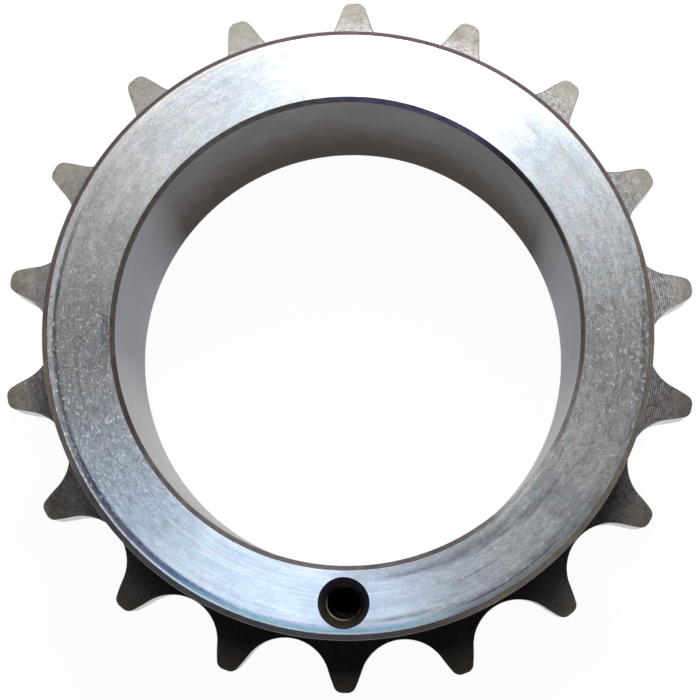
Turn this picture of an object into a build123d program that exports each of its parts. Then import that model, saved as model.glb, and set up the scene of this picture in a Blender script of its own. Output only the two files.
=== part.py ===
from build123d import *

import os
from math import cos, radians, sin, tan

# A chain sprocket turned and milled from one piece of steel: a thick hub ring
# with a large plain bore, and a plate of teeth standing out of its outside.
# The rear hub face lies on the XY plane, and +Z runs along the bore to the front hub face.

# ---- Teeth ----
tooth_count = 18
chain_pitch = 25.4
seat_radius = 9.55  # round floor of a tooth gap, where one roller sits
seat_half_angle = 62.5  # degrees, from the middle of the gap to the end of its floor
flank_radius = 45  # slightly bulging flank between the floor and the tip
tip_diameter = 147.8
tip_round = 1.9  # the two corners of each tip
gap_overrun = 2  # how far a drawn tooth gap runs on past the tips
tooth_width = 14.6
relief_height = 4.5  # outer part of each tooth side, which leans away from the chain's plates
relief_drop = 0.85  # how far that part has fallen away at the tip

# ---- Hub ring ----
hub_diameter = 125
bore_diameter = 95
front_hub_length = 23.6  # from the teeth to the front hub face
rear_hub_length = 25.8  # from the rear hub face to the teeth
hub_chamfer = 1.1
bore_chamfer = 1.0
plate_fillet = 0.8  # left by the turning tool where the teeth meet the hub
rim_width = 1.4  # shallow bevel along the outer edge of the front hub face
rim_drop = 0.1

# ---- Blind threaded hole in the front hub face, in the middle of the wall ----
thread_drill_diameter = 7.0
mouth_diameter = 10.2
mouth_angle = 90
tapped_depth = 18
pilot_diameter = 4.0
pilot_depth = 6
drill_point_angle = 118

# ---- Levels and radii that follow ----
pitch_radius = chain_pitch / (2 * sin(radians(180 / tooth_count)))
tip_radius = tip_diameter / 2
hub_radius = hub_diameter / 2
bore_radius = bore_diameter / 2
wall_middle_radius = (hub_radius + bore_radius) / 2
front_tooth_level = rear_hub_length + tooth_width
tooth_middle_level = rear_hub_length + tooth_width / 2
total_length = front_tooth_level + front_hub_length

# ---- One tooth gap, drawn on the +X axis ----
# The flank arcs start where the floor ends, in line with it, and run past both the tips
# and the pitch circle, so that they clear the floor's ends however low the tips are.
gap_reach = max(tip_radius, pitch_radius) + gap_overrun
flank_centre_distance = seat_radius + flank_radius
flank_centre = (
    pitch_radius - flank_centre_distance * cos(radians(seat_half_angle)),
    flank_centre_distance * sin(radians(seat_half_angle)),
)

with BuildSketch() as tooth_gap:
    with BuildLine():
        CenterArc((pitch_radius, 0), seat_radius, 180, -seat_half_angle)
        flank = CenterArc(flank_centre, flank_radius, -seat_half_angle, Edge.make_circle(gap_reach))
        Polyline(flank @ 1, (gap_reach, (flank @ 1).Y), (gap_reach, 0))
        mirror(about=Plane.XZ)
    make_face()

with BuildPart() as chain_sprocket:
    # Turned blank of the tooth plate: a ring whose outer part thins towards the tips.
    with BuildSketch(Plane((0, 0, tooth_middle_level), x_dir=(1, 0, 0), z_dir=(0, -1, 0))):
        with BuildLine():
            relief_start = (tip_radius - relief_height, tooth_width / 2)
            relief_end = (tip_radius, tooth_width / 2 - relief_drop)
            Polyline((wall_middle_radius, 0), (wall_middle_radius, tooth_width / 2), relief_start)
            TangentArc(relief_start, relief_end, tangent=(1, 0))
            Line(relief_end, (tip_radius, 0))
            mirror(about=Plane.XZ)
        make_face()
    revolve(axis=Axis.Z)

    # Teeth: what the gaps leave of the blank, with the corners of the tips rounded.
    with BuildSketch(Plane.XY.offset(rear_hub_length)) as tooth_outline:
        Circle(tip_radius)
        with PolarLocations(0, tooth_count):
            add(tooth_gap.sketch, mode=Mode.SUBTRACT)
        tip_corners = tooth_outline.vertices().group_by(SortBy.DISTANCE)[-1]
        fillet(tip_corners, tip_round)
    extrude(amount=tooth_width, mode=Mode.INTERSECT)

    # Hub ring: one turned section from the bore wall round both faces, with the small
    # fillets where the teeth stand on it and the bevelled rim of the front face.
    with BuildSketch(Plane.XZ):
        with BuildLine():
            rear_wall_end = (hub_radius, rear_hub_length - plate_fillet)
            rear_fillet_end = (hub_radius + plate_fillet, rear_hub_length)
            front_fillet_start = (hub_radius + plate_fillet, front_tooth_level)
            front_wall_start = (hub_radius, front_tooth_level + plate_fillet)
            rear_side = Polyline(
                (bore_radius, bore_chamfer),
                (bore_radius + bore_chamfer, 0),
                (hub_radius - hub_chamfer, 0),
                (hub_radius, hub_chamfer),
                rear_wall_end,
            )
            TangentArc(rear_wall_end, rear_fillet_end, tangent=(0, 1))
            Line(rear_fillet_end, front_fillet_start)
            TangentArc(front_fillet_start, front_wall_start, tangent=(-1, 0))
            Polyline(
                front_wall_start,
                (hub_radius, total_length - rim_drop - hub_chamfer),
                (hub_radius - hub_chamfer, total_length - rim_drop),
                (hub_radius - hub_chamfer - rim_width, total_length),
                (bore_radius + bore_chamfer, total_length),
                (bore_radius, total_length - bore_chamfer),
                rear_side @ 0,
            )
        make_face()
    revolve(axis=Axis.Z)

    # Threaded hole, in line with a tooth: countersunk mouth, cone down to a narrower
    # pilot hole, and the drill's point at the bottom.
    cone_slope = tan(radians(drill_point_angle / 2))
    shoulder_level = total_length - tapped_depth
    shoulder_height = (thread_drill_diameter - pilot_diameter) / 2 / cone_slope
    pilot_level = shoulder_level - shoulder_height
    point_height = pilot_diameter / 2 / cone_slope
    hanging = (Align.CENTER, Align.CENTER, Align.MAX)
    with Locations((0, -wall_middle_radius, total_length)):
        CounterSinkHole(thread_drill_diameter / 2, mouth_diameter / 2, tapped_depth, mouth_angle)
    with Locations((0, -wall_middle_radius, shoulder_level)):
        Cone(
            pilot_diameter / 2,
            thread_drill_diameter / 2,
            shoulder_height,
            align=hanging,
            mode=Mode.SUBTRACT,
        )
    with Locations((0, -wall_middle_radius, pilot_level)):
        Hole(pilot_diameter / 2, pilot_depth)
    with Locations((0, -wall_middle_radius, pilot_level - pilot_depth)):
        Cone(0, pilot_diameter / 2, point_height, align=hanging, mode=Mode.SUBTRACT)

os.makedirs("parts", exist_ok=True)
chain_sprocket.part.label = "chain_sprocket"
export_step(chain_sprocket.part, "parts/chain_sprocket.step")
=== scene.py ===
import bpy
import numpy as np
from mathutils import Matrix, Vector


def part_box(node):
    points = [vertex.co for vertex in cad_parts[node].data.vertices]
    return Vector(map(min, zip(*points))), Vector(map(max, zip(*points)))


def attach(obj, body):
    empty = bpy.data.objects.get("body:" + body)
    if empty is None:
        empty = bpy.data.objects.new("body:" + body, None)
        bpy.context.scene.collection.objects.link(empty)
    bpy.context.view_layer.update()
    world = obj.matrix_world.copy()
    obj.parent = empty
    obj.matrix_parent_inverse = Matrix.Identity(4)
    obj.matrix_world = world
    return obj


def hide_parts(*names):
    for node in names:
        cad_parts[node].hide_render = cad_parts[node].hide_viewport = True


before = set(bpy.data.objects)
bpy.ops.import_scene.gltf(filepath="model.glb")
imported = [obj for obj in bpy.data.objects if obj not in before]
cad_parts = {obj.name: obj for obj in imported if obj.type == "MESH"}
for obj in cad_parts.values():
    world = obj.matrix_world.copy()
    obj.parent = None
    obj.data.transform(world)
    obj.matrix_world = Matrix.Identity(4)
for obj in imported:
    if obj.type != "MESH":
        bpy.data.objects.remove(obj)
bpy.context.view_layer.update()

bl_info = {
    "name": "Chain sprocket",
    "version": (1, 0, 0),
    "blender": (4, 5, 0),
    "location": "3D View > Sidebar > Sprocket",
    "description": "Builds a chain sprocket in turned steel, with a tapped hole in its hub",
    "category": "Object",
}

NODE = "chain_sprocket"
BODY = "root"
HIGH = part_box(NODE)[1]
MM = 0.001


# ---- What a user would change ----


def length(name, description, value):
    """A length that a user can set, given in millimetres."""
    return bpy.props.FloatProperty(
        name=name, description=description, default=value * MM, min=0, unit="LENGTH", precision=5
    )


def share(name, description, value):
    """A number from 0 to 1 that a user can set."""
    return bpy.props.FloatProperty(
        name=name, description=description, default=value, min=0, max=1, subtype="FACTOR"
    )


def colour(name, description, value):
    """A colour that a user can set."""
    return bpy.props.FloatVectorProperty(
        name=name, description=description, default=value, size=3, min=0, max=1, subtype="COLOR"
    )


def place(name, azimuth, elevation):
    """Where a lamp stands, given in degrees."""
    return bpy.props.FloatVectorProperty(
        name=name,
        description="Turn about the bore's axis and height over the hub face",
        default=(np.radians(azimuth), np.radians(elevation)),
        size=2,
        subtype="EULER",
    )


def power(name, value):
    """The power of a lamp, in watts."""
    return bpy.props.FloatProperty(
        name=name, description="Power of the lamp", default=value, min=0, unit="POWER"
    )


class HubSizes(bpy.types.PropertyGroup):
    """Sizes of the hub ring and of its tapped hole."""

    total: length("Length", "From the rear hub face to the front hub face", HIGH.z / MM)
    hub: length("Hub radius", "Outside of the hub ring", 62.5)
    bore: length("Bore radius", "Plain bore", 47.5)
    hub_chamfer: length("Hub chamfer", "Outer edges of both hub faces", 1.1)
    bore_chamfer: length("Bore chamfer", "Both ends of the bore", 1.0)
    rim_width: length("Rim width", "Shallow bevel round the front hub face", 1.4)
    rim_drop: length("Rim drop", "How far the bevel falls", 0.1)
    edge_break: length("Edge break", "Rounding left on every turned edge", 0.12)
    hole_centre: length("Hole distance", "From the bore's axis to the hole's axis", 55)
    mouth: length("Mouth radius", "Countersunk mouth of the hole", 5.1)
    crest: length("Thread crest", "Radius at the thread's inner edge", 3.36)
    root: length("Thread root", "Radius at the bottom of the thread's groove", 4.0)
    thread_pitch: length("Thread pitch", "From one turn to the next", 1.25)
    tapped: length("Tapped depth", "From the face to the end of the thread", 18)
    pilot: length("Pilot radius", "Narrow hole below the thread", 2.0)
    pilot_depth: length("Pilot depth", "Straight part of the pilot hole", 6)


class ToothSizes(bpy.types.PropertyGroup):
    """Sizes of the tooth plate."""

    count: bpy.props.IntProperty(name="Teeth", description="Number of teeth", default=18, min=6)
    chain_pitch: length("Chain pitch", "Between the middles of two rollers", 25.4)
    seat: length("Seat radius", "Round floor of a tooth gap", 9.55)
    seat_angle: bpy.props.FloatProperty(
        name="Seat angle",
        description="From the middle of a gap to the end of its floor",
        default=np.radians(62.5),
        subtype="ANGLE",
    )
    flank: length("Flank radius", "Slightly bulging flank", 45)
    tip: length("Tip radius", "Outside of the teeth, just inside the CAD box", HIGH.y / MM - 0.002)
    tip_round: length("Tip round", "The two corners of each tip", 1.9)
    rear: length("Rear side", "From the rear hub face to the teeth", 25.8)
    width: length("Tooth width", "Between the two sides of a tooth", 14.6)
    relief: length("Relief height", "Outer part of each side, which leans away", 4.5)
    relief_drop: length("Relief drop", "How far the side has fallen at the tip", 0.85)
    fillet: length("Plate fillet", "Where the teeth meet the hub", 0.8)
    edge_break: length("Edge break", "Rounding left on every edge of a tooth", 0.05)
    groove_pitch: length("Groove pitch", "Between two tool marks on the sides", 0.45)
    groove_depth: length("Groove depth", "Depth of the tool marks on the sides", 0.01)


class SteelFinish(bpy.types.PropertyGroup):
    """Colours and strengths of the steel's finishes."""

    face: colour("Face", "Turned hub faces", (0.49, 0.505, 0.53))
    face_warm: colour("Face patches", "Warmer patches on the hub faces", (0.475, 0.47, 0.475))
    # Painted highlight: a lighter colour over the lower half of the hub face, where the lower gloss falls.
    face_lit_half: colour("Face pale", "Lighter part of the hub faces", (0.63, 0.665, 0.71))
    # Painted highlight: a lighter neutral colour on the sides of the hub face, where its gloss spreads.
    face_side_sheen: colour("Face worn", "Worn neutral sides of the hub faces", (0.70, 0.70, 0.705))
    # Partly painted highlight: the film's blue is the steel's own, and its paleness stands in for the lower
    # gloss.
    face_blue: colour("Face film", "Bluer film on part of the hub face", (0.63, 0.78, 0.99))
    edge: colour("Hub chamfer", "Oxide on the hub's chamfers", (0.098, 0.070, 0.070))
    edge_rubbed: colour("Hub chamfer rubbed", "Lighter places on the hub's chamfers", (0.18, 0.155, 0.12))
    bore_edge: colour("Bore chamfer", "Oxide on the bore's chamfers", (0.16, 0.14, 0.122))
    bore_edge_rubbed: colour("Bore chamfer rubbed", "Lighter places of its oxide", (0.26, 0.24, 0.23))
    violet: colour("Violet film", "Violet oxide on part of the bore's chamfers", (0.165, 0.15, 0.265))
    bore: colour("Bore", "Bored wall", (0.36, 0.36, 0.362))
    bore_warm: colour("Bore patches", "Warmer patches on the bored wall", (0.325, 0.315, 0.31))
    # Painted shade: a darker brown towards the rear of the bore.
    bore_rear_shade: colour("Bore film", "Brown film towards the rear of the bore", (0.148, 0.132, 0.122))
    # Painted light: a lighter lavender on two sides of the bore, where the wall reflects the lit floor.
    lavender: colour("Lavender film", "Lavender film on two sides of the bore", (0.60, 0.61, 0.68))
    wall: colour("Hub wall", "Turned outside of the hub", (0.46, 0.46, 0.47))
    tooth: colour("Tooth side", "Dull ground between the tool marks", (0.175, 0.16, 0.145))
    crest: colour("Tool marks", "Bright crests of the tool marks", (0.46, 0.475, 0.50))
    tan: colour("Tooth relief", "Heat tint on the outer part of the teeth", (0.29, 0.265, 0.22))
    flank: colour("Tooth flank", "Milled flanks and tips of the teeth", (0.63, 0.62, 0.605))
    # Painted shade: a dark brown on the lower teeth, where the hub's shadow falls.
    lower_teeth_shade: colour("Dark teeth", "Brown film on the lower teeth", (0.07, 0.05, 0.042))
    rust: colour("Rust", "Small rust spots", (0.20, 0.055, 0.02))
    speckle: share("Speckle", "How strongly the faces are mottled", 0.7)
    streaks: share("Streaks", "How strongly turned lines show in the colour", 0.5)


class StageSizes(bpy.types.PropertyGroup):
    """Camera, lamps, floor and surroundings."""

    camera_place: bpy.props.FloatVectorProperty(
        name="Camera place",
        description="Where the camera stands",
        default=(0.01067, -0.05397, 0.5736),
        size=3,
        subtype="TRANSLATION",
        unit="LENGTH",
        precision=5,
    )
    camera_turn: bpy.props.FloatVectorProperty(
        name="Camera turn",
        description="Tilt about the sideways axis, tilt about the upright axis and roll",
        default=(np.radians(-5.639), np.radians(-1.060), np.radians(0.6875)),
        size=3,
        subtype="EULER",
    )
    lens: bpy.props.FloatProperty(
        name="Lens", description="Focal length in millimetres", default=129.51, min=10
    )
    lamp_distance: length("Lamp distance", "From the hub face to every lamp", 1600)
    key_place: place("Key lamp", 79.5, 50)
    key_size: length("Key size", "Width of the square key lamp", 300)
    key_power: power("Key power", 21.5)
    window_place: place("Window lamp", 90, 56)
    window_size: length("Window size", "Width of the square window lamp", 1100)
    window_power: power("Window power", 11.8)
    fill_place: place("Fill lamp", 215, 40)
    fill_size: length("Fill size", "Width of the square fill lamp", 900)
    fill_power: power("Fill power", 0.2)
    overhead: share("Overhead", "Brightness of the surroundings above", 0.01)
    floor_glow: share("Floor white", "Share of plain white in the floor", 0.96)
    mirrored_glow: share("Mirrored white", "Share of plain white in the floor's reflection", 0.96)
    floor_width: length("Floor width", "Side of the square floor", 8000)
    floor_drop: length("Floor drop", "From the rear hub face down to the floor", 0.05)


# ---- Surfaces as arrays ----


def quads_of(index, turned=False):
    """Quads between neighbouring rows and columns of a grid of vertex numbers."""
    quads = np.stack([index[:-1, :-1], index[:-1, 1:], index[1:, 1:], index[1:, :-1]], axis=-1)
    quads = quads.reshape(-1, 4)
    return quads[:, ::-1] if turned else quads


def closed_round(index):
    """A grid of vertex numbers whose first column comes again at its end."""
    return np.concatenate([index, index[:, :1]], axis=1)


def polar(radius, turn, height):
    """Points at a distance from the bore's axis, a direction and a height."""
    radius, turn, height = np.broadcast_arrays(radius, turn, height)
    return np.stack([radius * np.cos(turn), radius * np.sin(turn), height], axis=-1)


class Surface:
    """The points and faces of one piece, gathered grid by grid."""

    def __init__(self):
        self.points = np.empty((0, 3))
        self.faces = []

    def add(self, grid):
        """Takes in a grid of points and gives the grid of their vertex numbers."""
        index = len(self.points) + np.arange(grid[..., 0].size).reshape(grid.shape[:-1])
        self.points = np.concatenate([self.points, grid.reshape(-1, 3)])
        return index

    def cover(self, index, material, turned=False):
        """Lays quads over a grid of vertex numbers."""
        self.faces.append((quads_of(index, turned), material))

    def used(self):
        """The points that faces stand on, and the faces with their points numbered anew."""
        kept = np.unique(np.concatenate([face.ravel() for face, _ in self.faces]))
        renumber = np.full(len(self.points), -1)
        renumber[kept] = np.arange(len(kept))
        return self.points[kept], [(renumber[face], material) for face, material in self.faces]


def piece_from(name, surface, materials):
    """A mesh object from a surface in metres and the material for each of its faces' numbers."""
    points, faces = surface.used()
    mesh = bpy.data.meshes.new(name)
    sizes = np.concatenate([np.full(len(face), face.shape[1]) for face, _ in faces])
    corners = np.concatenate([face.ravel() for face, _ in faces])
    starts = np.concatenate([[0], np.cumsum(sizes)[:-1]])
    numbers = np.concatenate([np.full(len(face), material) for face, material in faces])
    mesh.vertices.add(len(points))
    mesh.vertices.foreach_set("co", points.astype(np.float32).ravel())
    mesh.loops.add(len(corners))
    mesh.loops.foreach_set("vertex_index", corners.astype(np.int32))
    mesh.polygons.add(len(sizes))
    mesh.polygons.foreach_set("loop_start", starts.astype(np.int32))
    for number in sorted(materials):
        mesh.materials.append(materials[number])
    mesh.polygons.foreach_set("material_index", numbers.astype(np.int32))
    mesh.polygons.foreach_set("use_smooth", np.ones(len(sizes), bool))
    mesh.update(calc_edges=True)
    if mesh.validate(verbose=False):
        raise RuntimeError(f"{name} has faces that Blender had to mend")
    made = bpy.data.objects.new(name, mesh)
    bpy.context.scene.collection.objects.link(made)
    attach(made, BODY)
    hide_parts(NODE)
    return made


def broken_corners(corners, radius, steps, support):
    """Rows of a turned section: each corner becomes an arc of this radius, and a support row
    stands on the straight at each end of the arc. The arc's middle lies on the corner's
    bisector, at radius / cos(half the turn) from the corner."""
    corners = np.asarray(corners, float)
    back = np.roll(corners, 1, axis=0) - corners
    ahead = np.roll(corners, -1, axis=0) - corners
    back /= np.linalg.norm(back, axis=1, keepdims=True)
    ahead /= np.linalg.norm(ahead, axis=1, keepdims=True)
    half_turn = (np.pi - np.arccos(np.clip((back * ahead).sum(1), -1, 1))) / 2
    reach = (radius * np.tan(half_turn))[:, None]
    bisector = back + ahead
    bisector /= np.linalg.norm(bisector, axis=1, keepdims=True)
    middle = corners + bisector * (radius / np.cos(half_turn))[:, None]
    first = corners + back * reach - middle
    last = corners + ahead * reach - middle
    part = np.linspace(0, 1, steps + 1)[None, :, None]
    turn = (2 * half_turn)[:, None, None]
    arc = np.sin((1 - part) * turn) * first[:, None] + np.sin(part * turn) * last[:, None]
    arc = arc / np.sin(turn) + middle[:, None]
    before = (corners + back * (reach + support))[:, None]
    after = (corners + ahead * (reach + support))[:, None]
    return np.concatenate([before, arc, after], axis=1)


# ---- Hub ring with its tapped hole ----

FACE, HUB_EDGE, WALL, BORE, HOLE, BORE_EDGE = range(6)  # numbers of the hub ring's materials

HUB_COLUMNS = 432
EDGE_STEPS = 3  # steps along a broken edge
EDGE_SUPPORT = 0.1 * MM  # from a broken edge to the row that keeps its sides straight
FACE_ROWS = 15  # rows over the flat of the front face
RIM_ROWS = np.array([0.15, 0.2]) * MM  # from the rim's end to the two rows inside it
CREASE_ROW = 0.06 * MM  # from the rim's inner crease to the row on each side of it
FACE_INSET = 0.25 * MM  # from the bore's chamfer to the innermost row of the flat

HOLE_SPAN = 8  # columns on each side of the hole that its square takes
PATCH_RINGS = 5  # rings between the square and the mouth
MOUTH_RINGS = np.array([0.14, 0.05]) * MM  # from the mouth to the last two rings on the face
MOUTH_DEPTHS = np.array([0.03, 0.1]) * MM  # depths of the first two rings in the cone
THREAD_FROM = 0.25 * MM  # depth of the first ring of the thread
THREAD_FLAT = 0.1  # share of half a pitch that is flat at the crest, and again at the root
RINGS_PER_TURN = 8
SHOULDER_RING = np.array([-0.05, 0.08]) * MM  # depth and radius from the shoulder's inner edge
HOLE_SUPPORT = 0.1 * MM  # from a corner of the pilot hole to the ring that keeps it crisp
POINT_RING = 0.6 * MM  # depth of the ring on the drill's point
DRILL_SLOPE = np.tan(np.radians(59))  # how fast a drill's point narrows with depth


def face_height(radius, s):
    """Height of the front hub face: flat, then falling evenly over the rim's width."""
    rim_end = s.hub - s.hub_chamfer
    fall = np.clip((radius - (rim_end - s.rim_width)) / s.rim_width, 0, None)
    return s.total - s.rim_drop * fall


def hub_outline(s):
    """Section of the hub ring as rows of radius and height, from the rear end of the bore round
    to its front end: eight broken corners with the rows of the front face between the sixth
    and the seventh. The slice says which rows are the face's."""
    rim_end = s.hub - s.hub_chamfer
    rim_level = s.total - s.rim_drop
    face_end = s.bore + s.bore_chamfer
    corners = [
        (s.bore, s.bore_chamfer),
        (face_end, 0),
        (rim_end, 0),
        (s.hub, s.hub_chamfer),
        (s.hub, rim_level - s.hub_chamfer),
        (rim_end, rim_level),
        (face_end, s.total),
        (s.bore, s.total - s.bore_chamfer),
    ]
    rows = broken_corners(corners, s.edge_break, EDGE_STEPS, EDGE_SUPPORT)
    outer, inner = rim_end - RIM_ROWS
    rows[5, -1] = (outer, face_height(outer, s))  # the rim falls, so this row isn't level
    crease = rim_end - s.rim_width
    flat = np.linspace(crease - CREASE_ROW, face_end + FACE_INSET, FACE_ROWS)
    radii = np.concatenate([[inner, crease + CREASE_ROW], flat])
    face = np.stack([radii, face_height(radii, s)], axis=1)
    before = rows[:6].reshape(-1, 2)
    after = rows[6:].reshape(-1, 2)
    return np.concatenate([before, face, after]), slice(len(before), len(before) + len(face))


def section_materials(outline, s):
    """Material number of the band from each row to the next, from where the band's middle lies:
    a chamfer unless it is on a wall, or on a face and farther than half a broken edge from its
    chamfer's corner."""
    radius, height = ((outline + np.roll(outline, -1, axis=0)) / 2).T
    slack = 0.03 * MM
    half_edge = 0.055 * MM
    rim_level = s.total - s.rim_drop
    numbers = np.where(radius > (s.bore + s.hub) / 2, HUB_EDGE, BORE_EDGE)
    face_from, face_to = s.bore + s.bore_chamfer + half_edge, s.hub - s.hub_chamfer - half_edge
    numbers[(radius > face_from) & (radius < face_to)] = FACE
    in_wall = (height > s.hub_chamfer - slack) & (height < rim_level - s.hub_chamfer + slack)
    numbers[in_wall & (radius > s.hub - slack)] = WALL
    in_bore = (height > s.bore_chamfer - slack) & (height < s.total - s.bore_chamfer + slack)
    numbers[in_bore & (radius < s.bore + slack)] = BORE
    return numbers


def thread_radius(depth, turn, s):
    """Radius of the tapped wall: a ridge that climbs one pitch in each turn, with flats at its
    crest and root, cut away by the 45 degree cone of the mouth where that is wider."""
    climb = depth / s.thread_pitch - turn / (2 * np.pi)
    ridge = np.abs(2 * (climb - np.floor(climb)) - 1)
    rise = np.clip((ridge - THREAD_FLAT) / (1 - 2 * THREAD_FLAT), 0, 1)
    cut = s.crest + (s.root - s.crest) * rise
    return np.maximum(cut, s.mouth - depth)


def hole_rings(rim, s):
    """Rings of points from a square loop on the front face down to the drill point. Rings blend
    from the square to a circle round the mouth and go on down as circles of varying radius:
    the mouth's cone and the thread, the shoulder, the pilot hole and the start of its point."""
    centre = np.array([0, -s.hole_centre])
    start = np.arctan2(rim[0, 1] - centre[1], rim[0, 0] - centre[0])
    turn = start + np.arange(len(rim)) * 2 * np.pi / len(rim)
    circle = np.stack([np.cos(turn), np.sin(turn)], axis=1)
    outer, inner = s.mouth + MOUTH_RINGS
    blend = np.linspace(0, 1, PATCH_RINGS + 2)[1:, None, None]
    patch = (1 - blend) * rim[None, :, :2] + blend * (centre + outer * circle)[None]
    patch = np.concatenate([patch, (centre + inner * circle)[None]])
    level = face_height(np.linalg.norm(patch, axis=-1), s)
    patch = np.concatenate([patch, level[..., None]], axis=-1)

    thread = np.arange(THREAD_FROM, s.tapped, s.thread_pitch / RINGS_PER_TURN)
    depth = np.concatenate([MOUTH_DEPTHS, thread, [s.tapped]])[:, None]
    radius = thread_radius(depth, turn, s)
    shoulder = s.tapped + (s.crest - s.pilot) / DRILL_SLOPE
    floor = shoulder + s.pilot_depth
    below = np.array(
        [
            SHOULDER_RING + (shoulder, s.pilot),
            (shoulder, s.pilot),
            (shoulder + HOLE_SUPPORT, s.pilot),
            (floor - HOLE_SUPPORT, s.pilot),
            (floor, s.pilot),
            (floor + POINT_RING, s.pilot - POINT_RING * DRILL_SLOPE),
        ]
    )
    depth = np.concatenate([depth, below[:, :1]])
    radius = np.concatenate([radius, np.repeat(below[:, 1:], len(rim), axis=1)])
    hole = polar(radius, turn, s.total - depth) + (*centre, 0)
    point = np.array([(*centre, s.total - floor - s.pilot / DRILL_SLOPE)])
    return np.concatenate([patch, hole]), point


def hub_surface(s):
    """A section of straights and broken corners turned about the Z axis, with a square of the
    front face's grid, round the -Y axis, opened for the rings of the tapped hole."""
    surface = Surface()
    outline, face_rows = hub_outline(s)
    materials = section_materials(outline, s)
    turn = np.arange(HUB_COLUMNS) * 2 * np.pi / HUB_COLUMNS
    index = surface.add(polar(outline[:, :1], turn, outline[:, 1:]))
    quads = quads_of(closed_round(np.concatenate([index, index[:1]])), turned=True)
    quads = quads.reshape(len(outline), HUB_COLUMNS, 4)
    first = HUB_COLUMNS * 3 // 4 - HOLE_SPAN
    last = first + 2 * HOLE_SPAN
    keep = np.ones(quads.shape[:2], bool)
    keep[face_rows.start : face_rows.stop - 1, first:last] = False
    for row, kept, material in zip(quads, keep, materials):
        if kept.any():
            surface.faces.append((row[kept], int(material)))

    square = index[face_rows, first : last + 1]
    loop = np.concatenate([square[0, :-1], square[:-1, -1], square[-1, :0:-1], square[:0:-1, 0]])
    rings, point = hole_rings(surface.points[loop], s)
    rings = closed_round(np.concatenate([loop[None], surface.add(rings)]))
    surface.cover(rings[: PATCH_RINGS + 2], FACE, turned=True)
    surface.cover(rings[PATCH_RINGS + 1 :], HOLE, turned=True)
    pole = np.full(len(loop), surface.add(point)[0])
    surface.faces.append((np.stack([rings[-1, 1:], rings[-1, :-1], pole], axis=1), HOLE))
    return surface


# ---- Tooth plate ----

SIDE, FLANK = range(2)  # numbers of the tooth plate's materials

TOOTH_COLUMNS = np.array([-1, -0.965, -0.88, -0.7, -0.47, -0.23, 0, 0.23, 0.47, 0.7, 0.88, 0.965, 1])
FLOOR_STEPS, FLANK_STEPS, CORNER_STEPS = 199, 399, 119  # steps along the arcs of a tooth's outline
SEAT_ROWS, SEAT_STRIDE = 6, 22  # rows of a side on the gap's floor, and outline steps between them
CORNER_STRIDE = 17  # outline steps between the rows of a side at the tip's corner
RELIEF_ROWS = 15
ROWS_PER_GROOVE = 5
SEAT_GAP = 0.03 * MM  # least distance from the last row on the gap's floor to the next
ROW_GAP = 0.001 * MM  # least distance from the last row of the relief to the next
FLANK_SUPPORT = 0.12 * MM  # from an edge round to the row that keeps the flank straight
FILLET_STEPS = 6
ROOT_SUPPORT = 0.06 * MM  # from the fillet to the row that keeps the side flat
ROOT_DEPTH = 0.4 * MM  # how far the plate reaches into the hub's wall
ROOT_RISE = 0.05 * MM  # height of the plate's inner end over the fillet's


def half_tooth(t):
    """Half of a tooth's outline in the plane, from the middle of a gap to the tooth's middle,
    with the gap on the +X axis: the floor's arc, the flank's arc that carries on in line with
    it, and the tip corner's arc that touches the flank and the tip circle."""
    pitch_radius = t.chain_pitch / (2 * np.sin(np.pi / t.count))
    reach = t.seat + t.flank
    middle = np.array([pitch_radius - reach * np.cos(t.seat_angle), reach * np.sin(t.seat_angle)])
    floor_turn = np.linspace(0, t.seat_angle, FLOOR_STEPS + 1)
    floor = np.stack([pitch_radius - t.seat * np.cos(floor_turn), t.seat * np.sin(floor_turn)], axis=1)

    # The corner's centre lies tip_round inside both the flank circle and the tip circle.
    near, far = t.flank - t.tip_round, t.tip - t.tip_round
    gap = np.linalg.norm(middle)
    along = (far**2 - near**2 + gap**2) / (2 * gap)
    off = np.sqrt(far**2 - along**2)
    unit = middle / gap
    corner = unit * along + np.array([unit[1], -unit[0]]) * off
    flank_from = np.arctan2(*(floor[-1] - middle)[::-1])
    flank_to = np.arctan2(*(corner - middle)[::-1])
    flank_turn = np.linspace(flank_from, flank_to, FLANK_STEPS + 1)[1:]
    corner_turn = np.linspace(flank_to, np.arctan2(*corner[::-1]), CORNER_STEPS + 1)[1:]
    flank_out = np.stack([np.cos(flank_turn), np.sin(flank_turn)], axis=1)
    corner_out = np.stack([np.cos(corner_turn), np.sin(corner_turn)], axis=1)
    floor_out = np.stack([np.cos(floor_turn), -np.sin(floor_turn)], axis=1)
    outline = np.concatenate([floor, middle + t.flank * flank_out, corner + t.tip_round * corner_out])
    return outline, np.concatenate([floor_out, flank_out, corner_out])


def side_fall(radius, t):
    """How far a tooth side lies below its flat level: nothing up to the relief, then an arc
    that leaves the flat in line with it and has fallen by relief_drop at the tip; tool marks
    are shallow troughs between sharp crests, one to each groove pitch, and fade over the first
    four fifths of the relief."""
    start = t.tip - t.relief
    bend = (t.relief**2 + t.relief_drop**2) / (2 * t.relief_drop)
    past = np.clip(radius - start, 0, None)
    arc = bend - np.sqrt(bend**2 - past**2)
    phase = np.mod((start - radius) / t.groove_pitch, 1)
    fade = np.clip(1 - past / (0.8 * t.relief), 0, 1)
    return arc + t.groove_depth * 4 * phase * (1 - phase) * fade


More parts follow.
